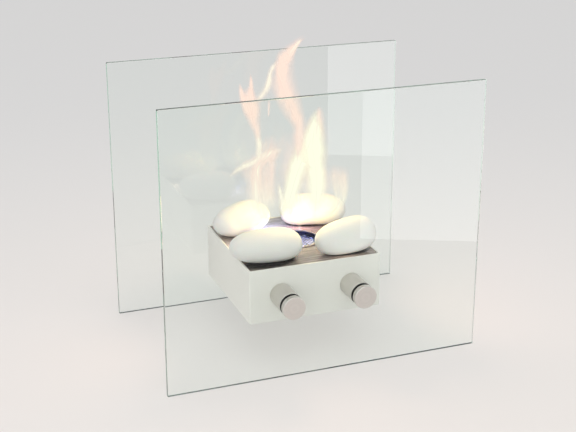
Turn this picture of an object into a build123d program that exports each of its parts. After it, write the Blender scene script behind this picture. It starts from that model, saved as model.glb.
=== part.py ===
from build123d import *
import os
from math import cos, hypot, radians, sin

# Table fireplace for bioethanol: a square steel burner casing hung between two upright glass panes,
# with a lift-out burner and four loose ceramic pebbles. Millimetres. The origin is on the table,
# below the middle of the casing; X runs along the panes, -Y is the front, Z is up.

# --- Driving dimensions -------------------------------------------------------------------------

# Glass panes
pane_width = 350.0
pane_height = 300.0
pane_thickness = 5.0
pane_corner = 1.0
pane_arris = 0.4

# Casing: a folded steel box, open at the top, with a flange turned in at the bottom
casing_side = 150.0
casing_height = 60.0
casing_wall = 2.0
casing_base = 49.0  # height of its underside above the table
casing_corner = 1.5
casing_rim = 0.4  # rounding of the top rim
casing_flange = 10.0
bottom_thickness = 1.5
sheet_gap = 0.6  # between a plate's edge and the casing's walls

# Bottom screws, M4 with button heads
bottom_screw_size = 4.0
bottom_screw_head = 7.6
bottom_screw_head_height = 2.2
bottom_screw_rounding = 1.1  # of the head's rim
bottom_screw_reach = 1.0  # past the bottom plate
bottom_screw_play = 0.25  # round the screw, in the flange

# Standoffs that hold the panes: barrel, gaskets, bush in the glass, cap with its stud
standoff_spacing = 80.0
standoff_rise = 30.0  # their axis above the casing's underside
standoff_diameter = 25.0
barrel_length = 30.0
barrel_chamfer = 0.5
cap_length = 6.0
cap_rounding = 0.7
inner_gasket_thickness = 1.2
outer_gasket_thickness = 0.6
gasket_inset = 0.2  # of a gasket's rim inside the standoff's
glass_hole = 12.0
bush_play = 0.1
stud_play = 0.3  # round the stud, in the bush and the gaskets

# Threads, drawn plain at their outer diameter
thread_size = 8.0
thread_play = 0.05
thread_engagement = 6.25  # five turns of 1.25
thread_relief = 2.5  # of a blind hole past its screw's end

# Bolts that hold the barrels from inside the casing
bolt_head_flats = 13.0
bolt_head_height = 5.3
bolt_grip = 8.0  # length in the barrel
bolt_play = 0.2  # round the bolt, in the wall and the washer
washer_diameter = 16.0
washer_thickness = 1.6

# Burner plate and the ledges that carry it
plate_recess = 0.6  # of its face below the casing's rim
plate_thickness = 2.0
plate_corner = 0.8
ledge_clearance = 2.0  # between a ledge and the tank's flange
ledge_drop = 12.0
ledge_length = 120.0
ledge_thickness = 1.5

# Mouth of the burner, a little to the right of the middle of the plate
mouth_diameter = 50.0
mouth_shift = 6.0
neck_wall = 1.0
neck_lip = 2.0  # width of its lip on the plate
neck_lip_thickness = 0.8
neck_lip_rounding = 0.25
screen_depth = 5.0  # of the shelf for the screen below the plate's face
shelf_width = 3.0
shelf_thickness = 1.0
neck_play = 0.1

# Woven wire screen in the mouth and the ring on it
screen_pitch = 3.2
screen_wire = 0.9
screen_rim = 1.2
screen_turn = 45.0
screen_ring_width = 2.0
screen_ring_thickness = 1.2
screen_play = 0.3

# Fuel tank below the plate, with the ceramic wool in it
tank_diameter = 100.0
tank_depth = 44.0
tank_wall = 1.0
tank_flange = 5.0
wool_play = 0.5

# Ceramic pebbles. Each has its widest place "out" to the side from the plate's middle, and "inset" from
# its front or back edge. From there it tapers over "left" and "right" to its two ends. "turn" swings
# the right end to the back and "rise" tips it up.
pebble_play = 0.2  # between a pebble and the plate
pebbles = {
    "front_left": dict(
        out=42.5, inset=20.4, left=47.0, right=34.5, width=53.6, height=36.2, turn=3.5, rise=-1.5
    ),
    "front_right": dict(
        out=47.5, inset=17.6, left=46.0, right=31.0, width=50.4, height=37.4, turn=18.0, rise=4.3
    ),
    "back_left": dict(
        out=43.7, inset=41.9, left=44.5, right=28.3, width=52.0, height=39.4, turn=32.0, rise=-2.5
    ),
    "back_right": dict(
        out=35.7, inset=29.8, left=31.0, right=49.0, width=58.0, height=35.0, turn=10.0, rise=-5.0
    ),
}

# --- Places worked out from them ----------------------------------------------------------------

casing_half = casing_side / 2
casing_inside = casing_side - 2 * casing_wall
casing_rim_height = casing_base + casing_height
standoff_height = casing_base + standoff_rise
pane_inner = casing_half + barrel_length + inner_gasket_thickness
pane_outer = pane_inner + pane_thickness
cap_seat = pane_outer + outer_gasket_thickness
stud_length = cap_seat - casing_half - barrel_length + thread_engagement
plate_side = casing_inside - 2 * sheet_gap
plate_top = casing_rim_height - plate_recess
plate_underside = plate_top - plate_thickness
bottom_screw_pitch = casing_inside - casing_flange
mouth_radius = mouth_diameter / 2
shelf_top = plate_top - screen_depth
screen_top = shelf_top + screen_wire
screen_radius = mouth_radius - screen_play
screen_gap = screen_pitch - screen_wire
tank_radius = tank_diameter / 2
tank_base = plate_underside - tank_depth
ledge_reach = mouth_shift + tank_radius + tank_flange + ledge_clearance  # from the middle to a ledge's edge
mouth_axis = Axis((mouth_shift, 0, 0), (0, 0, 1))
corners = {"front_left": (-1, -1), "front_right": (1, -1), "back_left": (-1, 1), "back_right": (1, 1)}
quarter_turn = 90.0

os.makedirs("parts", exist_ok=True)


def save(builder, name):
    """Label a finished piece and write it to its own file."""
    builder.part.label = name
    export_step(builder.part, f"parts/{name}.step")


def outward(side_x, side_y, reach):
    """Plane across a standoff's axis, facing out, at a distance from the middle of the casing."""
    middle = (side_x * standoff_spacing / 2, side_y * reach, standoff_height)
    return Plane(origin=middle, x_dir=(1, 0, 0), z_dir=(0, side_y, 0))


def make_rings(name, planes, outer_diameter, inner_diameter, thickness):
    """Washers, gaskets or bushes: a flat ring that grows from each plane."""
    with BuildPart() as rings:
        for plane in planes:
            with BuildSketch(plane):
                Circle(outer_diameter / 2)
                Circle(inner_diameter / 2, mode=Mode.SUBTRACT)
        extrude(amount=thickness)
    save(rings, name)


# --- Glass panes --------------------------------------------------------------------------------


def make_pane(name, side_y):
    """One pane, standing on its lower edge, with two holes for the studs."""
    face = Plane(origin=(0, side_y * pane_inner, pane_height / 2), x_dir=(1, 0, 0), z_dir=(0, side_y, 0))
    with BuildPart() as pane:
        with BuildSketch(face):
            RectangleRounded(pane_width, pane_height, pane_corner)
        extrude(amount=pane_thickness)
        chamfer(pane.faces().filter_by(Axis.Y).edges(), pane_arris)
        for side_x in (-1, 1):
            with BuildSketch(outward(side_x, side_y, pane_inner)):
                Circle(glass_hole / 2)
        extrude(amount=pane_thickness, mode=Mode.SUBTRACT)
    save(pane, name)


make_pane("front_pane", -1)
make_pane("back_pane", 1)

# --- Casing -------------------------------------------------------------------------------------

with BuildPart() as casing:
    with BuildSketch(Plane.XY.offset(casing_base)):
        RectangleRounded(casing_side, casing_side, casing_corner)
    extrude(amount=casing_height)
    with BuildSketch(Plane.XY.offset(casing_base + casing_wall)):
        Rectangle(casing_inside, casing_inside)
    extrude(amount=casing_height, mode=Mode.SUBTRACT)
    with BuildSketch(Plane.XY.offset(casing_base)):
        Rectangle(casing_inside - 2 * casing_flange, casing_inside - 2 * casing_flange)
    extrude(amount=casing_wall, mode=Mode.SUBTRACT)
    for side_x, side_y in corners.values():
        with BuildSketch(outward(side_x, side_y, casing_half)):
            Circle(thread_size / 2 + bolt_play)
    extrude(amount=-casing_wall, mode=Mode.SUBTRACT)
    with BuildSketch(Plane.XY.offset(casing_base)):
        with GridLocations(bottom_screw_pitch, bottom_screw_pitch, 2, 2):
            Circle(bottom_screw_size / 2 + bottom_screw_play)
    extrude(amount=casing_wall, mode=Mode.SUBTRACT)
    fillet(casing.edges().filter_by(Axis.Z, reverse=True).group_by(Axis.Z)[-1], casing_rim)
save(casing, "casing")

with BuildPart() as bottom_plate:
    with BuildSketch(Plane.XY.offset(casing_base + casing_wall)):
        Rectangle(casing_inside - 2 * sheet_gap, casing_inside - 2 * sheet_gap)
        with GridLocations(bottom_screw_pitch, bottom_screw_pitch, 2, 2):
            Circle(bottom_screw_size / 2 + thread_play, mode=Mode.SUBTRACT)
    extrude(amount=bottom_thickness)
save(bottom_plate, "bottom_plate")

with BuildPart() as bottom_screws:
    with BuildSketch(Plane.XY.offset(casing_base)):
        with GridLocations(bottom_screw_pitch, bottom_screw_pitch, 2, 2):
            Circle(bottom_screw_head / 2)
    extrude(amount=-bottom_screw_head_height)
    heads = bottom_screws.faces().group_by(Axis.Z)[0]
    fillet(heads.edges(), bottom_screw_rounding)
    with BuildSketch(Plane.XY.offset(casing_base)):
        with GridLocations(bottom_screw_pitch, bottom_screw_pitch, 2, 2):
            Circle(bottom_screw_size / 2)
    extrude(amount=casing_wall + bottom_thickness + bottom_screw_reach)
save(bottom_screws, "bottom_screws")

for name, side_x in (("left_ledge", -1), ("right_ledge", 1)):
    with BuildPart() as ledge:
        with BuildSketch(Plane.XZ.offset(-ledge_length / 2)):
            with BuildLine():
                Polyline(
                    (side_x * casing_inside / 2, plate_underside),
                    (side_x * ledge_reach, plate_underside),
                    (side_x * ledge_reach, plate_underside - ledge_thickness),
                    (side_x * (casing_inside / 2 - ledge_thickness), plate_underside - ledge_thickness),
                    (side_x * (casing_inside / 2 - ledge_thickness), plate_underside - ledge_drop),
                    (side_x * casing_inside / 2, plate_underside - ledge_drop),
                    close=True,
                )
            make_face()
        extrude(amount=ledge_length)
    save(ledge, name)

# --- Standoffs ----------------------------------------------------------------------------------


def make_barrel(name, side_x, side_y):
    """A standoff's barrel, with a threaded hole in each end."""
    back = outward(side_x, side_y, casing_half)
    front = outward(side_x, side_y, casing_half + barrel_length)
    with BuildPart() as barrel:
        with BuildSketch(back):
            Circle(standoff_diameter / 2)
        extrude(amount=barrel_length)
        chamfer(barrel.edges(), barrel_chamfer)
        with BuildSketch(back):
            Circle(thread_size / 2 + thread_play)
        extrude(amount=bolt_grip + thread_relief, mode=Mode.SUBTRACT)
        with BuildSketch(front):
            Circle(thread_size / 2 + thread_play)
        extrude(amount=-thread_engagement - thread_relief, mode=Mode.SUBTRACT)
    save(barrel, name)


def make_cap(name, side_x, side_y):
    """A standoff's cap, in one with the stud that goes through the glass into the barrel."""
    seat = outward(side_x, side_y, cap_seat)
    with BuildPart() as cap:
        with BuildSketch(seat):
            Circle(standoff_diameter / 2)
        extrude(amount=cap_length)
        fillet(cap.edges().sort_by(Axis.Y)[0 if side_y < 0 else -1], cap_rounding)
        with BuildSketch(seat):
            Circle(thread_size / 2)
        extrude(amount=-stud_length)
    save(cap, name)


def at_corners(reach):
    """The planes across the four standoffs' axes, at one distance from the middle of the casing."""
    return [outward(side_x, side_y, reach) for side_x, side_y in corners.values()]


gasket_diameter = standoff_diameter - 2 * gasket_inset
stud_clearance_hole = thread_size + 2 * stud_play
for corner, (side_x, side_y) in corners.items():
    make_barrel(f"barrel_{corner}", side_x, side_y)
    make_cap(f"cap_{corner}", side_x, side_y)
    gasket_plane = outward(side_x, side_y, pane_outer)
    gasket_name = f"outer_gasket_{corner}"
    make_rings(gasket_name, [gasket_plane], gasket_diameter, stud_clearance_hole, outer_gasket_thickness)
barrel_ends = at_corners(casing_half + barrel_length)
make_rings("inner_gaskets", barrel_ends, gasket_diameter, stud_clearance_hole, inner_gasket_thickness)
bush_diameter = glass_hole - 2 * bush_play
make_rings("stud_bushes", at_corners(pane_inner), bush_diameter, stud_clearance_hole, pane_thickness)
washer_planes = at_corners(casing_inside / 2 - washer_thickness)
washer_hole = thread_size + 2 * bolt_play
make_rings("mounting_washers", washer_planes, washer_diameter, washer_hole, washer_thickness)

with BuildPart() as mounting_bolts:
    for plane in washer_planes:
        with BuildSketch(plane):
            RegularPolygon(bolt_head_flats / 2, 6, major_radius=False)
    extrude(amount=-bolt_head_height)
    for plane in washer_planes:
        with BuildSketch(plane):
            Circle(thread_size / 2)
    extrude(amount=washer_thickness + casing_wall + bolt_grip)
save(mounting_bolts, "mounting_bolts")

# --- Burner -------------------------------------------------------------------------------------

with BuildPart() as burner_plate:
    with BuildSketch(Plane.XY.offset(plate_underside)):
        RectangleRounded(plate_side, plate_side, plate_corner)
        with Locations((mouth_shift, 0)):
            Circle(mouth_radius + neck_wall + neck_play, mode=Mode.SUBTRACT)
    extrude(amount=plate_thickness)
save(burner_plate, "burner_plate")

with BuildPart() as burner_neck:
    with BuildSketch(Plane.XZ) as neck_section:
        with BuildLine():
            Polyline(
                (mouth_shift + mouth_radius, plate_top + neck_lip_thickness),
                (mouth_shift + mouth_radius + neck_wall + neck_lip, plate_top + neck_lip_thickness),
                (mouth_shift + mouth_radius + neck_wall + neck_lip, plate_top),
                (mouth_shift + mouth_radius + neck_wall, plate_top),
                (mouth_shift + mouth_radius + neck_wall, shelf_top - shelf_thickness),
                (mouth_shift + mouth_radius - shelf_width, shelf_top - shelf_thickness),
                (mouth_shift + mouth_radius - shelf_width, shelf_top),
                (mouth_shift + mouth_radius, shelf_top),
                close=True,
            )
        make_face()
    revolve(axis=mouth_axis)
    lip_rims = burner_neck.edges().group_by(Axis.Z)[-1]
    fillet(lip_rims, neck_lip_rounding)
save(burner_neck, "burner_neck")


def screen_holes():
    """Middles of the screen's gaps: a square net turned about its middle, up to the screen's rim."""
    count = int(screen_radius / screen_pitch) + 1
    reach = screen_radius - screen_rim - hypot(screen_gap, screen_gap) / 2
    across = [(i + 0.5) * screen_pitch for i in range(-count, count)]
    turned = [Vector(x, y).rotate(Axis.Z, screen_turn) for x in across for y in across]
    return [(spot.X, spot.Y) for spot in turned if spot.length < reach]


with BuildPart() as mesh_screen:
    with BuildSketch(Plane(origin=(mouth_shift, 0, shelf_top), z_dir=(0, 0, 1))):
        Circle(screen_radius)
        with Locations(*screen_holes()):
            Rectangle(screen_gap, screen_gap, rotation=screen_turn, mode=Mode.SUBTRACT)
    extrude(amount=screen_wire)
save(mesh_screen, "mesh_screen")

screen_ring_plane = Plane(origin=(mouth_shift, 0, screen_top), z_dir=(0, 0, 1))
screen_ring_hole = 2 * (screen_radius - screen_ring_width)
make_rings("mesh_ring", [screen_ring_plane], 2 * screen_radius, screen_ring_hole, screen_ring_thickness)

with BuildPart() as fuel_tank:
    with BuildSketch(Plane.XZ):
        with BuildLine():
            Polyline(
                (mouth_shift, tank_base),
                (mouth_shift + tank_radius, tank_base),
                (mouth_shift + tank_radius, plate_underside - tank_wall),
                (mouth_shift + tank_radius + tank_flange, plate_underside - tank_wall),
                (mouth_shift + tank_radius + tank_flange, plate_underside),
                (mouth_shift + tank_radius - tank_wall, plate_underside),
                (mouth_shift + tank_radius - tank_wall, tank_base + tank_wall),
                (mouth_shift, tank_base + tank_wall),
                close=True,
            )
        make_face()
    revolve(axis=mouth_axis)
save(fuel_tank, "fuel_tank")

with BuildPart() as ceramic_wool:
    with BuildSketch(Plane(origin=(mouth_shift, 0, tank_base + tank_wall), z_dir=(0, 0, 1))):
        Circle(tank_radius - tank_wall - wool_play)
    extrude(amount=shelf_top - shelf_thickness - wool_play - tank_base - tank_wall)
save(ceramic_wool, "ceramic_wool")

# --- Pebbles ------------------------------------------------------------------------------------


def make_pebble(name, side_x, side_y, out, inset, left, right, width, height, turn, rise):
    """A smooth egg-shaped pebble lying on the burner plate."""
    with BuildPart() as egg:
        with BuildSketch(Plane.XY):
            with BuildLine():
                EllipticalCenterArc((0, 0), right, width / 2, arc_size=quarter_turn)
                EllipticalCenterArc((0, 0), left, width / 2, start_angle=quarter_turn, arc_size=quarter_turn)
                Line((-left, 0), (right, 0))
            make_face()
        revolve(axis=Axis.X)
        scale(by=(1, 1, height / width))
    low_end = left if rise > 0 else right
    drop = hypot(low_end * sin(radians(rise)), height / 2 * cos(radians(rise)))
    lying = Plane(
        origin=(side_x * out, side_y * (plate_side / 2 - inset), plate_top + pebble_play + drop),
        x_dir=Vector(cos(radians(rise)), 0, sin(radians(rise))).rotate(Axis.Z, turn),
        z_dir=Vector(-sin(radians(rise)), 0, cos(radians(rise))).rotate(Axis.Z, turn),
    )
    with BuildPart(lying) as pebble:
        add(egg.part)
    save(pebble, name)


for corner, (side_x, side_y) in corners.items():
    make_pebble(f"pebble_{corner}", side_x, side_y, **pebbles[corner])
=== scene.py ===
import bmesh
import bpy
from math import cos, pi, radians, sin, sqrt
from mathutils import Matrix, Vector


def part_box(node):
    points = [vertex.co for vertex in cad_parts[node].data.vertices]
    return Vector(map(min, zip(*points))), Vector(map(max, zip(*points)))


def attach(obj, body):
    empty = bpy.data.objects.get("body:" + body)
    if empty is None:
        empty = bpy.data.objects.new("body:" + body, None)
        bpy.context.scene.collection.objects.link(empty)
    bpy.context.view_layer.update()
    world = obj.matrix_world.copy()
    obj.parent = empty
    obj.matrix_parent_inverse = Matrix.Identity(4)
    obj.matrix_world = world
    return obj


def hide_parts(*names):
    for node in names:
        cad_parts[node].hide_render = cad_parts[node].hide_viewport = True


# Table fireplace for bioethanol: a white burner casing between two glass panes, with four ceramic
# pebbles and a flame. Metres. X runs along the panes, -Y is the front, Z is up.

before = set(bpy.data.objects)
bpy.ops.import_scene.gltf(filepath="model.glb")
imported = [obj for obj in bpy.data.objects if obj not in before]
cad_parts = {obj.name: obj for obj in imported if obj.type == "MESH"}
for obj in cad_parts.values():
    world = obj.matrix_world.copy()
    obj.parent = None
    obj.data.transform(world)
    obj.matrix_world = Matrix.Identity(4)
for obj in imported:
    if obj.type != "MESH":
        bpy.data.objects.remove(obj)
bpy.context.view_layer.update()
bpy.ops.object.select_all(action="DESELECT")

# --- Places taken from the frame ----------------------------------------------------------------

screen_low, screen_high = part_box("mesh_screen")
plate_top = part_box("burner_plate")[1].z
mouth = Vector(((screen_low.x + screen_high.x) / 2, 0, plate_top))
cap_low, cap_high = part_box("cap_front_right")
standoff_x = (cap_low.x + cap_high.x) / 2
standoff_z = (cap_low.z + cap_high.z) / 2
pane_low, pane_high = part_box("back_pane")
pane_middle = (pane_low.y + pane_high.y) / 2
pane_half = (pane_high.y - pane_low.y) / 2

# --- Materials ----------------------------------------------------------------------------------


def new_finish(name, colour, roughness, metallic=0.0):
    """A material whose colour and roughness hold all over the surface until a pattern joins them."""
    finish = bpy.data.materials.new(name)
    finish.use_nodes = True
    shader = finish.node_tree.nodes["Principled BSDF"]
    shader.inputs["Base Color"].default_value = (*colour, 1)
    shader.inputs["Roughness"].default_value = roughness
    shader.inputs["Metallic"].default_value = metallic
    return finish


def add_node(finish, kind, **settings):
    """One more node. Settings name its sockets, with a space as an underscore, or its properties."""
    node = finish.node_tree.nodes.new(kind)
    for name, value in settings.items():
        if hasattr(node, name):
            setattr(node, name, value)
        else:
            node.inputs[name.replace("_", " ")].default_value = value
    return node


def join(finish, output, target):
    finish.node_tree.links.new(output, target)


def feed(finish, value, socket):
    """The socket takes its value from a node's output, or holds a number, vector or colour."""
    if isinstance(value, bpy.types.NodeSocket):
        join(finish, value, socket)
    else:
        socket.default_value = value


def shader_socket(finish, name):
    return finish.node_tree.nodes["Principled BSDF"].inputs[name]


def math_node(finish, operation, one, other=None, clamp=False):
    """A sum, product or other operation on numbers, each given or a node's output."""
    node = add_node(finish, "ShaderNodeMath", operation=operation, use_clamp=clamp)
    feed(finish, one, node.inputs[0])
    if other is not None:
        feed(finish, other, node.inputs[1])
    return node.outputs["Value"]


def vector_node(finish, operation, one, other=None):
    """The same for vectors. The result is a vector too, unless it is a length."""
    node = add_node(finish, "ShaderNodeVectorMath", operation=operation)
    feed(finish, one, node.inputs[0])
    if other is not None:
        feed(finish, other, node.inputs[1])
    return node.outputs["Value" if operation == "LENGTH" else "Vector"]


def part_of(finish, vector, axis):
    """One of the vector's three numbers."""
    parts = add_node(finish, "ShaderNodeSeparateXYZ")
    join(finish, vector, parts.inputs["Vector"])
    return parts.outputs[axis]


def place_on_piece(finish, stretch=(1, 1, 1), shift=(0, 0, 0)):
    """Coordinates of the piece in metres, stretched or moved for a pattern."""
    coordinates = add_node(finish, "ShaderNodeTexCoord")
    mapping = add_node(finish, "ShaderNodeMapping", Scale=stretch, Location=shift)
    join(finish, coordinates.outputs["Object"], mapping.inputs["Vector"])
    return mapping.outputs["Vector"]


def grain(finish, place, scale, detail=4.0, roughness=0.5):
    """Soft noise from 0 to 1 at a place."""
    noise = add_node(finish, "ShaderNodeTexNoise", Scale=scale, Detail=detail, Roughness=roughness)
    join(finish, place, noise.inputs["Vector"])
    return noise.outputs["Fac"]


def between(finish, amount, low, high, start=0.3, end=0.7):
    """A value that goes from low to high as the amount goes from start to end."""
    spread = add_node(finish, "ShaderNodeMapRange")
    spread.inputs["From Min"].default_value = start
    spread.inputs["From Max"].default_value = end
    spread.inputs["To Min"].default_value = low
    spread.inputs["To Max"].default_value = high
    join(finish, amount, spread.inputs["Value"])
    return spread.outputs["Result"]


def shade_colour(finish, amount, one, other, start=0.3, end=0.7, easing="LINEAR"):
    """A colour that goes from one to the other as the amount goes from start to end."""
    ramp = add_node(finish, "ShaderNodeValToRGB")
    ramp.color_ramp.interpolation = easing
    first, last = ramp.color_ramp.elements
    first.position = start
    first.color = (*one, 1)
    last.position = end
    last.color = (*other, 1)
    join(finish, amount, ramp.inputs["Fac"])
    return ramp.outputs["Color"]


def blend_colours(finish, amount, one, other):
    """The one colour where the amount is 0 and the other where it is 1, each given or a node's output."""
    blend = add_node(finish, "ShaderNodeMix", data_type="RGBA")
    share, first, second, result = 0, 6, 7, 2  # the places of the node's sockets for colours
    join(finish, amount, blend.inputs[share])
    feed(finish, one, blend.inputs[first])
    feed(finish, other, blend.inputs[second])
    return blend.outputs[result]


def mix_shaders(finish, amount, one, other):
    """The surface has the one shader where the amount is 0 and the other where it is 1."""
    mix = add_node(finish, "ShaderNodeMixShader")
    join(finish, amount, mix.inputs["Fac"])
    join(finish, one, mix.inputs[1])
    join(finish, other, mix.inputs[2])
    join(finish, mix.outputs["Shader"], finish.node_tree.get_output_node("ALL").inputs["Surface"])


def vary_colour(finish, amount, one, other):
    join(finish, shade_colour(finish, amount, one, other), shader_socket(finish, "Base Color"))


def vary_roughness(finish, amount, low, high):
    join(finish, between(finish, amount, low, high), shader_socket(finish, "Roughness"))


def raise_surface(finish, height, depth):
    """Fine relief: the height from 0 to 1 stands for a depth in metres."""
    bump = add_node(finish, "ShaderNodeBump", Strength=1.0, Distance=depth)
    join(finish, height, bump.inputs["Height"])
    join(finish, bump.outputs["Normal"], shader_socket(finish, "Normal"))


def make_pane_glass(name, reflection):
    """Clear float glass, green where the light runs a long way through it. Its reflection is 1 in full."""
    glass = new_finish(name, (0.966, 0.990, 0.978), 0)
    shader_socket(glass, "Transmission Weight").default_value = 1
    shader_socket(glass, "IOR").default_value = 1.5
    shader_socket(glass, "Specular Tint").default_value = (reflection, reflection, reflection, 1)
    clear = glass.node_tree.nodes["Principled BSDF"].outputs["BSDF"]
    shadow = add_node(glass, "ShaderNodeBsdfTransparent", Color=(0.955, 0.965, 0.955, 1))
    path = add_node(glass, "ShaderNodeLightPath")
    mix_shaders(glass, path.outputs["Is Shadow Ray"], clear, shadow.outputs["BSDF"])
    tint = add_node(glass, "ShaderNodeVolumeAbsorption", Color=(0.06, 0.94, 0.54, 1), Density=1.7)
    join(glass, tint.outputs["Volume"], glass.node_tree.get_output_node("ALL").inputs["Volume"])
    return glass


def make_white_paint():
    """Satin powder coat with the faint orange peel that it dries with."""
    paint = new_finish("white_paint", (0.85, 0.83, 0.79), 0.42)
    cloud = grain(paint, place_on_piece(paint), 22)
    vary_colour(paint, cloud, (0.845, 0.825, 0.785), (0.865, 0.845, 0.805))
    vary_roughness(paint, grain(paint, place_on_piece(paint), 60), 0.36, 0.48)
    raise_surface(paint, grain(paint, place_on_piece(paint), 900, detail=2), 0.00006)
    return paint


def make_turned_steel():
    """Satin stainless steel with the fine rings that turning leaves round each standoff's axis."""
    steel = new_finish("turned_steel", (0.62, 0.595, 0.56), 0.34, metallic=1)
    place = add_node(steel, "ShaderNodeTexCoord").outputs["Object"]
    folded = vector_node(steel, "ABSOLUTE", place)
    from_axis = vector_node(steel, "SUBTRACT", folded, (standoff_x, 0, standoff_z))
    radius = vector_node(steel, "LENGTH", vector_node(steel, "MULTIPLY", from_axis, (1, 0, 1)))
    rings = add_node(steel, "ShaderNodeCombineXYZ")
    join(steel, radius, rings.inputs["X"])
    join(steel, part_of(steel, place, "Y"), rings.inputs["Y"])
    groove = grain(steel, rings.outputs["Vector"], 1600, detail=3)
    shine = grain(steel, rings.outputs["Vector"], 420)
    vary_colour(steel, shine, (0.665, 0.64, 0.61), (0.700, 0.675, 0.642))
    vary_roughness(steel, groove, 0.28, 0.42)
    raise_surface(steel, groove, 0.00002)
    return steel


# Where three of the stones lie on the burner plate, with a painted contact shadow round each: each foot's
# middle and half its size.
painted_contact_shade_spots = (
    ((-0.0490, -0.0468), (0.0400, 0.0274)),
    ((0.0460, -0.0540), (0.0282, 0.0138)),
    ((0.0440, 0.0490), (0.0340, 0.0210)),
)


def make_brushed_steel():
    """Stainless sheet brushed along X, of a warm brownish grey, painted near-black round where three stones
    lie as a painted contact shadow.
    """
    steel = new_finish("brushed_steel", (0.365, 0.31, 0.27), 0.24, metallic=0.60)
    strokes = grain(steel, place_on_piece(steel, stretch=(12, 900, 900)), 1, detail=6)
    patches = grain(steel, place_on_piece(steel), 16)
    unshaded_colour = shade_colour(steel, patches, (0.34, 0.285, 0.25), (0.39, 0.33, 0.29))
    any_height = 1000
    # Round each stone's foot the plate is painted near-black, a painted contact shadow.
    out_of_painted_shade = 1
    for middle, size in painted_contact_shade_spots:
        offset = vector_node(steel, "SUBTRACT", place_on_piece(steel), (*middle, 0))
        shrunk = vector_node(steel, "DIVIDE", offset, (*size, any_height))
        clear = between(steel, vector_node(steel, "LENGTH", shrunk), 0, 1, start=0.80, end=0.98)
        out_of_painted_shade = math_node(steel, "MULTIPLY", out_of_painted_shade, clear)
    with_painted_shade = blend_colours(steel, out_of_painted_shade, (0.035, 0.03, 0.026, 1), unshaded_colour)
    join(steel, with_painted_shade, shader_socket(steel, "Base Color"))
    vary_roughness(steel, strokes, 0.18, 0.32)
    raise_surface(steel, strokes, 0.00003)
    return steel


def make_neck_steel():
    """The neck's steel. Its lip is as dull as the plate, and the inside of the mouth is painted almost black
    navy, painted shade tinted by the flame's blue light."""
    steel = new_finish("blued_steel", (0.40, 0.38, 0.42), 0.28, metallic=0.9)
    height = part_of(steel, place_on_piece(steel), "Z")
    # Below the plate's top the neck is painted dark navy, painted shade with the flame's blue light; its
    # edge wavers.
    wavy_shade_edge = math_node(steel, "MULTIPLY", grain(steel, place_on_piece(steel), 120), 0.0012)
    level = math_node(steel, "ADD", height, wavy_shade_edge)
    lip = between(steel, level, 0, 1, start=plate_top - 0.0002, end=plate_top + 0.0010)
    vary_colour(steel, lip, (0.010, 0.014, 0.075), (0.40, 0.35, 0.38))
    vary_roughness(steel, grain(steel, place_on_piece(steel), 300), 0.22, 0.40)
    return steel


def make_wire_steel():
    """Drawn steel wire, painted dark navy for shade and the flame's blue light, with paler patches as
    painted glints.
    """
    wire = new_finish("wire_steel", (0.16, 0.20, 0.36), 0.22, metallic=1)
    # The navy stands in for shade and blue flame light; the pale end of the range is painted glints.
    heat = grain(wire, place_on_piece(wire), 310, detail=1)
    vary_colour(wire, heat, (0.002, 0.008, 0.10), (0.46, 0.50, 0.70))
    vary_roughness(wire, grain(wire, place_on_piece(wire), 700), 0.16, 0.30)
    return wire


def make_zinc_steel():
    """Zinc-plated steel of the ledges, screws, bolts and washers."""
    zinc = new_finish("zinc_steel", (0.62, 0.63, 0.65), 0.35, metallic=1)
    bloom = grain(zinc, place_on_piece(zinc), 260)
    vary_colour(zinc, bloom, (0.55, 0.56, 0.58), (0.68, 0.69, 0.70))
    vary_roughness(zinc, bloom, 0.28, 0.46)
    return zinc


def make_black_rubber():
    """The gaskets' rubber, with a little dust in its grain."""
    rubber = new_finish("black_rubber", (0.022, 0.022, 0.023), 0.62)
    dust = grain(rubber, place_on_piece(rubber), 800)
    vary_colour(rubber, dust, (0.018, 0.018, 0.019), (0.030, 0.030, 0.031))
    vary_roughness(rubber, dust, 0.55, 0.72)
    raise_surface(rubber, dust, 0.00004)
    return rubber


def make_clear_nylon():
    """The stud bushes' nylon, milky and a little see-through."""
    nylon = new_finish("clear_nylon", (0.80, 0.80, 0.78), 0.40)
    shader_socket(nylon, "Subsurface Weight").default_value = 0.3
    shader_socket(nylon, "Subsurface Scale").default_value = 0.002
    haze = grain(nylon, place_on_piece(nylon), 500)
    vary_colour(nylon, haze, (0.76, 0.76, 0.74), (0.84, 0.84, 0.82))
    vary_roughness(nylon, haze, 0.34, 0.48)
    return nylon


def make_ceramic_wool():
    """Matted white fibre that holds the fuel."""
    wool = new_finish("ceramic_wool", (0.74, 0.72, 0.68), 0.95)
    tufts = grain(wool, place_on_piece(wool, stretch=(1, 1, 0.4)), 420, detail=8, roughness=0.7)
    vary_colour(wool, tufts, (0.50, 0.48, 0.45), (0.82, 0.80, 0.77))
    raise_surface(wool, tufts, 0.0012)
    return wool


def make_pebble_ceramic():
    """Matt white ceramic, with a little life in its colour and surface, and a painted contact shadow,
    near-black, at its foot where it lies on the plate.
    """
    ceramic = new_finish("pebble_ceramic", (0.765, 0.75, 0.725), 0.55)
    shader_socket(ceramic, "Subsurface Weight").default_value = 0.15
    shader_socket(ceramic, "Subsurface Scale").default_value = 0.004
    tone = grain(ceramic, place_on_piece(ceramic), 34)
    unshaded_colour = shade_colour(ceramic, tone, (0.75, 0.735, 0.71), (0.785, 0.77, 0.745))
    # The stone's lowest few millimetres are painted near-black, a painted contact shadow at the plate.
    height = part_of(ceramic, place_on_piece(ceramic), "Z")
    out_of_painted_shade = between(ceramic, height, 0, 1, start=plate_top + 0.0004, end=plate_top + 0.0026)
    with_painted_shade = blend_colours(ceramic, out_of_painted_shade, (0.02, 0.018, 0.016, 1), unshaded_colour)
    join(ceramic, with_painted_shade, shader_socket(ceramic, "Base Color"))
    vary_roughness(ceramic, grain(ceramic, place_on_piece(ceramic), 120), 0.48, 0.66)
    raise_surface(ceramic, grain(ceramic, place_on_piece(ceramic), 420, detail=6), 0.00012)
    return ceramic


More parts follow.
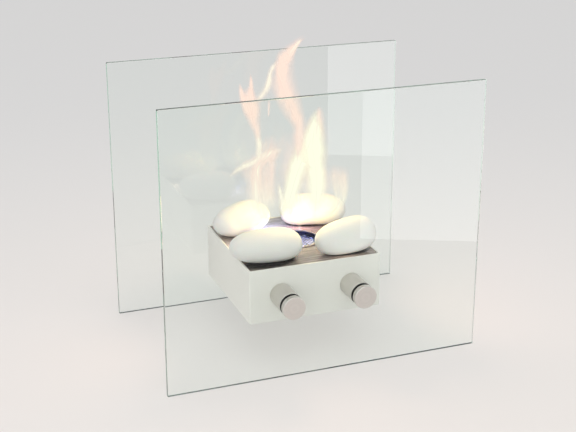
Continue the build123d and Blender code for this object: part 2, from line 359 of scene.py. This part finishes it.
def make_flame(name, core, rim, thickness, glow, streak_gap, softness):
    """Thin glowing gas: thick and pale along the middle of a tongue, thin and warm at its rims, in streaks
    that run upwards, and blue close to the burner. It follows the tongue's UV map, U upwards. The softness
    is the part of the tongue's width over which each of its sides fades out."""
    flame = new_finish(name, (0, 0, 0), 1)
    shader_socket(flame, "Specular IOR Level").default_value = 0
    shader_socket(flame, "Emission Strength").default_value = glow
    along_tongue = add_node(flame, "ShaderNodeTexCoord").outputs["UV"]
    up = part_of(flame, along_tongue, "X")
    across = part_of(flame, along_tongue, "Y")

    wave = grain(flame, place_on_piece(flame, stretch=(32, 32, 18)), 1, detail=2)
    sway = math_node(flame, "MULTIPLY", math_node(flame, "SUBTRACT", wave, 0.5), up)
    swayed = math_node(flame, "ADD", across, math_node(flame, "MULTIPLY", sway, 0.8))
    from_middle = math_node(flame, "ABSOLUTE", math_node(flame, "SUBTRACT", swayed, 0.5))
    body_edge = 0.46
    body = between(flame, from_middle, 1, 0, start=body_edge - softness, end=body_edge)
    to_border = math_node(flame, "ABSOLUTE", math_node(flame, "SUBTRACT", across, 0.5))
    border = between(flame, to_border, 1, 0, start=0.40, end=0.50)
    soft_body = math_node(flame, "MULTIPLY", math_node(flame, "POWER", body, 1.4), border)
    streaks = grain(flame, place_on_piece(flame, stretch=(120, 120, 22)), 1, detail=4)
    fibres = between(flame, streaks, streak_gap, 1, start=0.36, end=0.60)
    streaked = math_node(flame, "MULTIPLY", soft_body, fibres)
    root = between(flame, up, 0, 1, start=0.0, end=0.30)
    tip = between(flame, up, 1, 0, start=0.80, end=1.0)
    gas = math_node(flame, "MULTIPLY", streaked, math_node(flame, "MULTIPLY", root, tip))
    cover = math_node(flame, "MULTIPLY", gas, thickness, clamp=True)
    join(flame, cover, shader_socket(flame, "Alpha"))

    height = part_of(flame, place_on_piece(flame), "Z")
    risen = between(flame, height, 0, 1, start=mouth.z + 0.030, end=mouth.z + 0.075)
    grown = shade_colour(flame, gas, rim, core, start=0.08, end=0.62)
    young = blend_colours(flame, risen, (1.0, 0.97, 0.80, 1), grown)
    warmed = between(flame, height, 0, 1, start=mouth.z + 0.006, end=mouth.z + 0.020)
    heat = blend_colours(flame, warmed, (0.55, 0.60, 1.0, 1), young)
    join(flame, heat, shader_socket(flame, "Emission Color"))
    flame.cycles.emission_sampling = "NONE"
    return flame


front_glass = make_pane_glass("front_glass", reflection=0.30)
back_glass = make_pane_glass("back_glass", reflection=1.0)
paint = make_white_paint()
turned = make_turned_steel()
brushed = make_brushed_steel()
neck_steel = make_neck_steel()
wire = make_wire_steel()
zinc = make_zinc_steel()
rubber = make_black_rubber()
nylon = make_clear_nylon()
wool = make_ceramic_wool()
ceramic = make_pebble_ceramic()
bright_gas = make_flame("bright_gas", core=(1.0, 0.99, 0.79), rim=(1.0, 0.88, 0.65),
                        thickness=1.70, glow=1.05, streak_gap=0.70, softness=0.38)
cream_gas = make_flame("cream_gas", core=(1.0, 0.93, 0.77), rim=(1.0, 0.83, 0.68),
                       thickness=1.10, glow=1.03, streak_gap=0.60, softness=0.40)
warm_gas = make_flame("warm_gas", core=(1.0, 0.785, 0.67), rim=(1.0, 0.73, 0.62),
                      thickness=1.05, glow=1.04, streak_gap=0.60, softness=0.34)
thin_gas = make_flame("thin_gas", core=(1.0, 0.81, 0.71), rim=(1.0, 0.76, 0.68),
                      thickness=0.80, glow=1.02, streak_gap=0.45, softness=0.40)
veil_gas = make_flame("veil_gas", core=(1.0, 0.81, 0.70), rim=(1.0, 0.78, 0.69),
                      thickness=0.90, glow=0.99, streak_gap=0.55, softness=0.26)
blue_gas = make_flame("blue_gas", core=(0.93, 0.92, 1.0), rim=(0.80, 0.80, 1.0),
                      thickness=0.45, glow=1.0, streak_gap=0.6, softness=0.42)

corners = ("front_left", "front_right", "back_left", "back_right")
finishes = {
    "front_pane": front_glass,
    "back_pane": back_glass,
    "casing": paint,
    "bottom_plate": paint,
    "bottom_screws": zinc,
    "left_ledge": zinc,
    "right_ledge": zinc,
    "mounting_bolts": zinc,
    "mounting_washers": zinc,
    "inner_gaskets": rubber,
    "stud_bushes": nylon,
    "burner_plate": brushed,
    "burner_neck": neck_steel,
    "mesh_screen": wire,
    "mesh_ring": neck_steel,
    "fuel_tank": brushed,
    "ceramic_wool": wool,
}
for corner in corners:
    finishes[f"barrel_{corner}"] = turned
    finishes[f"cap_{corner}"] = turned
    finishes[f"outer_gasket_{corner}"] = rubber
    finishes[f"pebble_{corner}"] = ceramic

for name, finish in finishes.items():
    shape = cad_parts[name].data
    shape.materials.clear()
    shape.materials.append(finish)

# --- Pebbles ------------------------------------------------------------------------------------

bluntness = 2.5  # 2 for a plain oval from the side, more for blunter ends
flat_depth = 0.0015  # worn off each stone's underside, so that it lies still


def select_places(piece, chosen):
    """Goes to edit mode and selects only the vertices whose place passes the test."""
    bpy.ops.object.mode_set(mode="EDIT")
    bpy.ops.mesh.select_mode(type="VERT")
    shape = bmesh.from_edit_mesh(piece.data)
    for vertex in shape.verts:
        vertex.select = chosen(vertex.co)
    shape.select_flush_mode()
    bmesh.update_edit_mesh(piece.data)


def pull_skin(piece, spot, step, reach):
    """The vertex nearest to the spot moves by the step, and draws its neighbours within reach along."""
    bpy.ops.object.mode_set(mode="OBJECT")
    nearest = min(piece.data.vertices, key=lambda vertex: (vertex.co - spot).length).co.copy()
    slack = 1e-6
    select_places(piece, lambda place: (place - nearest).length < slack)
    bpy.ops.transform.translate(
        value=step,
        use_proportional_edit=True,
        proportional_edit_falloff="SMOOTH",
        proportional_size=reach,
    )


def settle(piece):
    """The piece's place, turn and size go into its mesh."""
    bpy.ops.object.select_all(action="DESELECT")
    piece.select_set(True)
    bpy.context.view_layer.objects.active = piece
    bpy.ops.object.transform_apply(location=True, rotation=True, scale=True)
    bpy.ops.object.select_all(action="DESELECT")


def make_pebble(corner, place, left, right, width, height, turn, tilt, pulls=()):
    """A smooth stone that rests on the burner plate. Its sizes are in millimetres, its turns in degrees.
    A pull moves the skin round a spot of the stone, softly, by a small step."""
    rings = 36
    slack = 1e-4  # between a ring's level on the ball and where its vertices are
    bpy.ops.mesh.primitive_uv_sphere_add(segments=48, ring_count=rings, radius=1, location=(0, 0, 0))
    pebble = bpy.context.object
    pebble.name = f"stone_{corner}"
    pebble.rotation_euler = (0, pi / 2, 0)
    settle(pebble)
    bpy.context.view_layer.objects.active = pebble
    for ring in range(1, rings):
        level = cos(pi * ring / rings)
        blunt = (1 - abs(level) ** bluntness) ** (1 / bluntness) / sin(pi * ring / rings)
        select_places(pebble, lambda spot: abs(spot.x - level) < slack)
        bpy.ops.transform.resize(value=(1, blunt, blunt), center_override=(0, 0, 0))
    for half_length, side in ((left, -1), (right, 1)):
        select_places(pebble, lambda spot: spot.x * side > slack)
        bpy.ops.transform.resize(value=(half_length / 1000, 1, 1), center_override=(0, 0, 0))
    bpy.ops.mesh.select_all(action="SELECT")
    bpy.ops.transform.resize(value=(1, width / 2000, height / 2000), center_override=(0, 0, 0))
    for spot, step, reach in pulls:
        pull_skin(pebble, Vector(spot) / 1000, Vector(step) / 1000, reach / 1000)
    bpy.ops.object.mode_set(mode="OBJECT")
    bpy.ops.object.shade_smooth()
    pebble.rotation_euler = (0, radians(-tilt), radians(turn))
    settle(pebble)
    underside = min(vertex.co.z for vertex in pebble.data.vertices) + flat_depth
    bpy.context.view_layer.objects.active = pebble
    select_places(pebble, lambda spot: spot.z < underside)
    bpy.ops.transform.resize(value=(1, 1, 0), center_override=(0, 0, underside))
    bpy.ops.object.mode_set(mode="OBJECT")
    pebble.location = (place[0] / 1000, place[1] / 1000, plate_top - underside)
    settle(pebble)
    pebble.data.materials.append(ceramic)
    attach(pebble, f"pebble_{corner}")
    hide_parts(f"pebble_{corner}")


make_pebble("front_left", (-38.2, -46.4), left=48.1, right=31.2, width=49.6, height=34.6,
            turn=2.3, tilt=-1.9)
make_pebble("front_right", (50.2, -55.0), left=43.1, right=25.7, width=39.2, height=38.8,
            turn=1.4, tilt=6.2)
make_pebble("back_left", (-35.8, 48.4), left=44.5, right=24.1, width=50.0, height=33.6,
            turn=25.4, tilt=4.1)
make_pebble("back_right", (33.5, 49.2), left=27.5, right=48.6, width=51.2, height=34.2,
            turn=-8.0, tilt=0.2, pulls=[((30, -16, -9), (2, -4, -2), 34), ((-22, -14, -8), (-2, -1, 0), 22)])

# --- Wire screen --------------------------------------------------------------------------------

wire_thickness = 0.8e-3
wire_pitch = 3.2e-3
wire_sway = 0.25e-3  # of a wire's middle, up and down where it crosses others
screen_radius = (screen_high.x - screen_low.x) / 2
screen_level = screen_low.z + wire_sway + wire_thickness / 2


def add_wire(offset, turn, first_up):
    """One crimped wire: it passes over and under the wires that it crosses, and ends at the round rim."""
    half_length = sqrt(screen_radius**2 - offset**2) - wire_thickness
    bpy.ops.curve.primitive_nurbs_path_add(location=(0, 0, 0))
    strand = bpy.context.object
    strand.data.splines.clear()
    run = strand.data.splines.new("NURBS")
    crossings = int(half_length / wire_pitch)
    steps = range(-crossings, crossings + 1)
    run.points.add(len(steps) + 1)
    run.points[0].co = (-half_length, offset, 0, 1)
    run.points[-1].co = (half_length, offset, 0, 1)
    for point, step in zip(list(run.points)[1:-1], steps):
        up = 1 if (step % 2 == 0) == first_up else -1
        point.co = (step * wire_pitch, offset, 3 * wire_sway * up, 1)
    run.order_u = 4
    run.use_endpoint_u = True
    run.resolution_u = 5
    strand.data.bevel_depth = wire_thickness / 2
    strand.data.bevel_resolution = 2
    strand.data.use_fill_caps = True
    bpy.ops.object.convert(target="MESH")
    strand.rotation_euler = (0, 0, turn)
    strand.location = (mouth.x, 0, screen_level)
    return strand


def make_screen():
    """A square net of wires, woven one over and one under, turned to lie across the casing's corners."""
    count = int(screen_radius / wire_pitch)
    strands = []
    for line in range(-count, count + 1):
        strands.append(add_wire(line * wire_pitch, pi / 4, line % 2 == 0))
        strands.append(add_wire(line * wire_pitch, 3 * pi / 4, line % 2 == 1))
    bpy.ops.object.select_all(action="DESELECT")
    for strand in strands:
        strand.select_set(True)
    bpy.context.view_layer.objects.active = strands[0]
    bpy.ops.object.join()
    screen = strands[0]
    screen.name = "woven_screen"
    bpy.ops.object.shade_smooth()
    settle(screen)
    screen.data.materials.clear()
    screen.data.materials.append(wire)
    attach(screen, "burner")
    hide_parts("mesh_screen")


make_screen()

# --- Flame --------------------------------------------------------------------------------------

flat_on = pi / 2 - radians(20.8)  # a ribbon's turn that faces it to the front left


def add_ribbon(spine, turn):
    """A strip of mesh bent along a spine. Its points have X, Y, Z and half width, all in millimetres."""
    bpy.ops.curve.primitive_nurbs_path_add(location=(0, 0, 0))
    line = bpy.context.object
    line.data.twist_mode = "MINIMUM"
    line.data.use_radius = True
    line.data.use_stretch = True
    line.data.use_deform_bounds = True
    line.data.splines.clear()
    run = line.data.splines.new("NURBS")
    run.points.add(len(spine) - 1)
    for point, (x, y, z, half_width) in zip(run.points, spine):
        point.co = (x / 1000, y / 1000, z / 1000, 1)
        point.radius = half_width
        point.tilt = turn
    run.order_u = 4
    run.use_endpoint_u = True
    bpy.ops.mesh.primitive_grid_add(x_subdivisions=70, y_subdivisions=10, size=1, location=(0, 0, 0))
    ribbon = bpy.context.object
    unit_width = 0.002  # so that a point's half width in millimetres is its radius on the curve
    bpy.ops.object.mode_set(mode="EDIT")
    bpy.ops.mesh.select_all(action="SELECT")
    bpy.ops.transform.resize(value=(1, unit_width, 1))
    bpy.ops.object.mode_set(mode="OBJECT")
    bend = ribbon.modifiers.new("bend", "CURVE")
    bend.object = line
    bend.deform_axis = "POS_X"
    bpy.ops.object.modifier_apply(modifier="bend")
    bpy.data.objects.remove(line)
    return ribbon


def make_tongue(name, gas, spine):
    """A tongue of flame: two ribbons that cross all the way up one spine."""
    tongue = add_ribbon(spine, flat_on)
    crossing = add_ribbon(spine, flat_on + pi / 2)
    bpy.ops.object.select_all(action="DESELECT")
    crossing.select_set(True)
    tongue.select_set(True)
    bpy.context.view_layer.objects.active = tongue
    bpy.ops.object.join()
    bpy.ops.object.select_all(action="DESELECT")
    tongue.name = name
    tongue.data.materials.append(gas)
    tongue.visible_diffuse = False
    tongue.visible_shadow = False
    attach(tongue, "burner")


# Each tongue's gas, and its spine from the root up: X, Y, Z and half width in millimetres.
tongues = {
    "flame_base": (thin_gas, [
        (15, 15, 130, 14), (17, 15, 141, 43.7), (16, 15, 152, 45.4), (15, 15, 164, 46.5),
        (16, 17, 176, 45.8), (20, 21, 190, 42.2), (26, 26, 204, 36.8), (34, 32, 217, 29.1),
        (37, 37, 227, 25.5), (38, 42, 236, 21.3),
    ]),
    "flame_column_right": (bright_gas, [
        (27, -2, 128, 9), (28, -2, 144, 13.8), (29, -2, 162, 14.4), (30, -1, 174, 14.4),
        (30, 3, 187, 15.5), (29, 6, 198, 18.8), (29, 10, 207, 21.2), (31, 14, 215, 19.7),
        (34, 18, 223, 16.2), (37, 22, 231, 13.2), (40, 27, 240, 8.4), (42, 31, 248, 3.6),
    ]),
    "flame_column_left": (bright_gas, [
        (2, 3, 128, 7), (-3, 3, 147, 13.2), (1, 3, 163, 12.5), (6, 5, 177, 14.3), (12, 8, 189, 14.9),
        (18, 12, 199, 16.1), (25, 15, 207, 16.2), (30, 19, 216, 12.6),
    ]),
    "flame_tip_left": (thin_gas, [
        (12, 11, 196, 6.6), (16, 17, 211, 7.2), (18, 23, 224, 7.5), (21, 29, 234, 6.6),
        (24, 34, 244, 4.2),
    ]),
    "flame_tip_right": (thin_gas, [
        (39, 17, 217, 14.4), (42, 22, 228, 12.3), (44, 27, 237, 9.6), (46, 34, 249, 3.6),
    ]),
    "flame_bulge": (thin_gas, [
        (40, 4, 153, 9.1), (42, 4, 167, 10.3), (42, 6, 176, 9.9), (41, 8, 187, 5.4),
    ]),
    "flame_tall": (warm_gas, [
        (12, 10, 191, 8.4), (15, 16, 206, 9), (18, 22, 219, 10.2), (20, 27, 230, 11.4),
        (18, 33, 240, 13.8), (16, 38, 248, 18), (14, 45, 260, 19.8), (12, 52, 271, 21.7),
        (11, 59, 280, 21.7), (14, 66, 288, 20), (19, 73, 292, 17), (25, 80, 297, 13.4),
        (30, 85, 300, 11), (36, 91, 303, 9.5), (42, 96, 307, 8), (49, 101, 309, 6.2), (58, 107, 312, 4),
    ]),
    "flame_tall_core": (cream_gas, [
        (26, 76, 295, 4.9), (32, 84, 300, 4.9), (40, 91, 304, 4.9), (45, 96, 308, 3.7),
        (52, 102, 311, 2.8),
    ]),
    "flame_curl": (cream_gas, [
        (-33, 40, 255, 2.4), (-22, 43, 260, 5), (-13, 47, 266, 6.4), (-6, 53, 275, 6.2),
        (-2, 60, 285, 5.3), (5, 67, 290, 4.3), (14, 75, 295, 2.7),
    ]),
    "flame_left": (cream_gas, [
        (-32, 5, 134, 6), (-38, 6, 152, 7.1), (-38, 6, 166, 5.6), (-37, 9, 181, 5.3),
        (-34, 13, 195, 5.2), (-31, 19, 210, 5.4), (-29, 24, 220, 5.6), (-29, 28, 228, 5.9),
        (-28, 32, 236, 5.9),
    ]),
    "flame_left_tip": (warm_gas, [
        (-34, 35, 241, 7.1), (-36, 42, 252, 7.7), (-37, 48, 262, 6.8), (-38, 54, 270, 3.9),
        (-38, 58, 277, 1.5),
    ]),
    "flame_left_top": (warm_gas, [
        (-31, 35, 241, 9.5), (-29, 42, 252, 9.2), (-27, 48, 261, 7.5), (-26, 54, 270, 5.3),
        (-24, 60, 279, 3), (-23, 65, 285, 0.8),
    ]),
    "flame_left_fork": (thin_gas, [
        (-9, 46, 259, 3.3), (-11, 40, 250, 2.4), (-14, 35, 242, 1.5),
    ]),
    "flame_veil": (veil_gas, [
        (-20, 6, 127, 12), (-28, 8, 146, 25.1), (-32, 8, 158, 23.2), (-33, 8, 170, 20.2),
        (-33, 10, 178, 20.7), (-35, 13, 187, 24.6), (-32, 15, 194, 23.1), (-23, 17, 200, 18.4),
        (-16, 20, 208, 16.1), (-13, 24, 216, 13.7), (-12, 28, 224, 8.9),
    ]),
    "flame_veil_arc": (cream_gas, [
        (-69, 11, 184, 1.9), (-61, 13, 191, 4.9), (-53, 14, 194, 5.9), (-43, 15, 197, 6.1),
        (-35, 16, 199, 5.7), (-27, 16, 201, 5.7), (-21, 18, 204, 5.9), (-12, 19, 207, 5.9),
        (-1, 20, 209, 3.1),
    ]),
    "flame_veil_edge": (thin_gas, [
        (-19, 7, 145, 7.8), (-21, 7, 159, 6.9), (-20, 8, 175, 5.9), (-18, 12, 190, 5.9),
        (-14, 17, 202, 5.9),
    ]),
    "flame_far_right": (veil_gas, [
        (50, 8, 128, 6), (62, 8, 140, 8), (62, 8, 154, 11.6), (61, 8, 166, 13.7), (61, 10, 176, 14.9),
        (63, 12, 185, 14),
    ]),
    "flame_small": (cream_gas, [
        (-8, 3, 133, 6), (-10, 3, 151, 7.8), (-11, 3, 159, 6.3), (-13, 3, 168, 3.7), (-13, 4, 175, 1.8),
    ]),
    "flame_streak": (blue_gas, [
        (7, -8, 118, 2.6), (7, -8, 130, 4.1), (6, -8, 147, 4.3), (6, -8, 170, 2.6),
    ]),
    "flame_left_body": (warm_gas, [
        (-30, 22, 215, 3.6), (-29, 27, 226, 5.9), (-30, 32, 235, 8.3), (-31, 37, 244, 11.3),
        (-30, 42, 253, 13.7), (-29, 47, 260, 14.6), (-29, 52, 267, 12.5), (-29, 56, 273, 9),
    ]),
}
for name, (gas, spine) in tongues.items():
    make_tongue(name, gas, spine)

# --- Floor, world, lamps and camera ---------------------------------------------------------------

far_grey = (0.69, 0.69, 0.695)


def make_floor():
    """A wide pale floor that runs out into the same pale grey as the world behind it. Near the front it is
    painted warmer and lighter, a painted pool of warm light. Right under the panes it is painted dark, a
    painted shadow, as their lower edges let no light out there."""
    bpy.ops.mesh.primitive_circle_add(vertices=96, radius=14, fill_type="NGON", location=(0, 0, 0))
    floor = bpy.context.object
    floor.name = "floor"
    paper = new_finish("floor_paper", (0.78, 0.77, 0.76), 0.9)
    shader_socket(paper, "Specular IOR Level").default_value = 0.1
    # Near the front the seen floor is painted warmer and lighter: a painted pool of warm light.
    near_front = place_on_piece(paper, shift=(0.15, 0.75, 0))
    distance = between(paper, vector_node(paper, "LENGTH", near_front), 0, 1, start=0, end=2.2)
    pale_with_painted_warm_pool = shade_colour(paper, distance, (0.88, 0.835, 0.80), far_grey, start=0.1, end=0.9, easing="EASE")
    seen = add_node(paper, "ShaderNodeEmission")
    join(paper, pale_with_painted_warm_pool, seen.inputs["Color"])

    # Under the panes the floor's colour and seen glow are painted dark: a painted shadow.
    place = place_on_piece(paper)
    across = math_node(paper, "ABSOLUTE", part_of(paper, place, "Y"))
    off_pane = math_node(paper, "ABSOLUTE", math_node(paper, "SUBTRACT", across, pane_middle))
    outside = math_node(paper, "GREATER_THAN", off_pane, pane_half)
    along = math_node(paper, "ABSOLUTE", part_of(paper, place, "X"))
    beyond = math_node(paper, "GREATER_THAN", along, pane_high.x)
    in_light = math_node(paper, "MAXIMUM", outside, beyond)
    shade = blend_colours(paper, in_light, (0.03, 0.05, 0.04, 1), (0.78, 0.77, 0.76, 1))
    join(paper, shade, shader_socket(paper, "Base Color"))

    path = add_node(paper, "ShaderNodeLightPath").outputs
    clear_view = math_node(paper, "MAXIMUM", path["Is Camera Ray"], path["Is Transmission Ray"])
    mirrored = math_node(paper, "MAXIMUM", clear_view, path["Is Glossy Ray"])
    amount = math_node(paper, "MULTIPLY", math_node(paper, "MULTIPLY", mirrored, 0.55), in_light)
    lit = paper.node_tree.nodes["Principled BSDF"].outputs["BSDF"]
    mix_shaders(paper, amount, lit, seen.outputs["Emission"])
    floor.data.materials.append(paper)
    bpy.ops.object.select_all(action="DESELECT")
    return floor


def make_world():
    """Even soft light all round. What is seen of it is the pale grey of the floor far away."""
    world = bpy.data.worlds.new("studio")
    bpy.context.scene.world = world
    world.use_nodes = True
    soft = world.node_tree.nodes["Background"]
    soft.inputs["Color"].default_value = (1.0, 0.995, 0.99, 1)
    soft.inputs["Strength"].default_value = 0.80
    seen = add_node(world, "ShaderNodeBackground", Color=(*far_grey, 1))
    path = add_node(world, "ShaderNodeLightPath").outputs
    direct = math_node(world, "MAXIMUM", path["Is Camera Ray"], path["Is Transmission Ray"])
    mix_shaders(world, direct, soft.outputs["Background"], seen.outputs["Background"])


def add_lamp(name, kind, place, colour, power):
    """A lamp of the kind at its place, with its power in watts."""
    bpy.ops.object.light_add(type=kind, location=place)
    lamp = bpy.context.object
    lamp.name = name
    lamp.data.color = colour
    lamp.data.energy = power
    bpy.ops.object.select_all(action="DESELECT")
    return lamp


def add_panel(name, place, target, colour, power, size):
    """A wide soft lamp, turned to its target."""
    panel = add_lamp(name, "AREA", place, colour, power)
    panel.data.size = size
    panel.rotation_euler = (Vector(target) - Vector(place)).to_track_quat("-Z", "Y").to_euler()
    return panel


def add_gleam(name, place, colour, power, radius):
    """A small round lamp that is not seen itself."""
    gleam = add_lamp(name, "POINT", place, colour, power)
    gleam.data.shadow_soft_size = radius
    gleam.visible_camera = False
    gleam.visible_glossy = False
    gleam.visible_transmission = False
    return gleam


def gather(name, things):
    """A collection of the things that a lamp lights. It lights no others."""
    collection = bpy.data.collections.new(name)
    for thing in things:
        collection.objects.link(thing)
    return collection


floor = make_floor()
make_world()
front_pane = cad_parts["front_pane"]
back_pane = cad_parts["back_pane"]
burner_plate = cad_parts["burner_plate"]
everything = [thing for thing in bpy.data.objects if thing.type == "MESH"]
add_panel("key_lamp", (-0.2, -0.7, 1.7), (0, -0.1, 0), (1.0, 0.95, 0.90), power=6.0, size=1.4)
front = add_panel("front_lamp", (-1.3, -2.0, 0.75), (0, 0, 0.08), (1.0, 0.985, 0.970), power=10.9, size=1.8)
front.light_linking.receiver_collection = gather(
    "lit_from_the_front", [thing for thing in everything if thing != burner_plate])

# The flame's own light falls on what stands round it, and rises with the burner. The panes do not mirror
# these lamps. Each has a place from the mouth, a colour, a power and a radius.
flame_lights = (
    ("high_flame_lamp", (0.018, -0.004, 0.125), (1.0, 0.74, 0.28), 0.30, 0.040),
    ("flame_lamp", (0.0, 0.0, 0.070), (1.0, 0.76, 0.22), 0.20, 0.030),
    ("low_flame_lamp", (0.006, -0.002, 0.016), (1.0, 0.76, 0.28), 0.055, 0.012),
    ("fuel_lamp", (0.0, 0.0, 0.006), (0.32, 0.42, 1.0), 0.018, 0.008),
)
unlit = (floor, front_pane, back_pane, burner_plate)
round_flame = gather("lit_by_flame", [thing for thing in everything if thing not in unlit])
for name, place, colour, power, radius in flame_lights:
    lamp = add_gleam(name, mouth + Vector(place), colour, power, radius)
    lamp.light_linking.receiver_collection = round_flame
    lamp.visible_glossy = name == "fuel_lamp"
    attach(lamp, "burner")

# The low gas spreads out of the mouth, rosy over the plate to the right and blue to the left, and lights
# only what is next to it: the plate, the wire screen and the feet of the back stones. Warm light comes back
# from the glass onto the plate's front and left, and a trace of it onto the front right stone. A row also
# names what its lamp lights.
back_stones = ("stone_back_left", "stone_back_right")
low_lights = (
    ("plate_glow_right", ("burner_plate",), (0.014, 0.029, 0.012), (1.0, 0.52, 0.50), 0.22, 0.008),
    ("plate_glow_left", ("burner_plate",), (-0.022, 0.028, 0.012), (0.50, 0.58, 1.0), 0.55, 0.008),
    ("plate_glow_front", ("burner_plate",), (0.031, -0.080, 0.011), (1.0, 0.84, 0.74), 0.040, 0.010),
    ("plate_glow_side", ("burner_plate",), (-0.080, -0.010, 0.014), (1.0, 0.90, 0.80), 0.150, 0.010),
    ("fill_front", ("stone_front_right",), (0.039, -0.102, 0.000), (1.0, 0.99, 0.96), 0.010, 0.014),
    ("screen_glow", ("woven_screen",), (-0.002, -0.018, 0.006), (0.98, 0.97, 1.0), 0.015, 0.004),
    ("foot_glow_left", back_stones, (-0.066, 0.002, 0.012), (1.0, 0.78, 0.62), 0.005, 0.008),
    ("foot_glow_right", back_stones, (0.034, 0.000, 0.008), (1.0, 0.72, 0.35), 0.006, 0.008),
)
for name, lit_names, place, colour, power, radius in low_lights:
    lamp = add_gleam(name, mouth + Vector(place), colour, power, radius)
    lit = [thing for thing in everything if thing.name in lit_names]
    lamp.light_linking.receiver_collection = gather(f"lit_by_{name}", lit)
    lamp.visible_glossy = name == "screen_glow"
    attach(lamp, "burner")

# The flame's glow on the floor round the casing is seen more than it lights the pebbles.
glow = add_gleam("floor_glow_lamp", (mouth.x, 0, mouth.z + 0.085), (1.0, 0.58, 0.40), power=1.3, radius=0.03)
glow.light_linking.receiver_collection = gather("lit_by_glow", [floor])
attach(glow, "burner")

# A wide pale card stands to the front right, out of view, and the panes mirror it. A card stands there for
# each pane, the front pane's brighter, as its reflection is weakened.
card_start = Vector((0.190, -0.455, 0))
card_along = Vector((0.905, 0.425, 0))
card_width = 0.9
card_height = 0.5
card_middle = card_start + card_along * card_width / 2 + Vector((0, 0, card_height / 2))
card_facing = card_middle + Vector((-card_along.y, card_along.x, 0))
for pane, power in ((front_pane, 7.6), (back_pane, 3.0)):
    card = add_panel(f"{pane.name}_card", card_middle, card_facing, (1.0, 0.99, 1.0), power, card_width)
    card.data.shape = "RECTANGLE"
    card.data.size_y = card_height
    card.visible_camera = False
    card.visible_diffuse = False
    card.visible_transmission = False
    card.light_linking.receiver_collection = gather(f"{pane.name}_mirrors_card", [pane])

# The camera looks from the front left, a little down.
camera_place = (-0.4362, -1.1568, 0.5816)
camera_down = radians(19.060)
camera_right = radians(20.817)
bpy.ops.object.camera_add(location=camera_place)
camera = bpy.context.object
camera.rotation_euler = (pi / 2 - camera_down, 0, -camera_right)
camera.data.sensor_width = 36
camera.data.lens = 73.97
camera.data.shift_x = -0.00986
camera.data.shift_y = -0.02799
camera.data.clip_start = 0.01
bpy.context.scene.camera = camera
bpy.context.scene.view_settings.view_transform = "Standard"

# Light passes and is mirrored by the panes many times, and crosses many tongues of flame.
cycles = bpy.context.scene.cycles
cycles.transparent_max_bounces = 32
cycles.max_bounces = 64
cycles.glossy_bounces = 64
cycles.transmission_bounces = 64
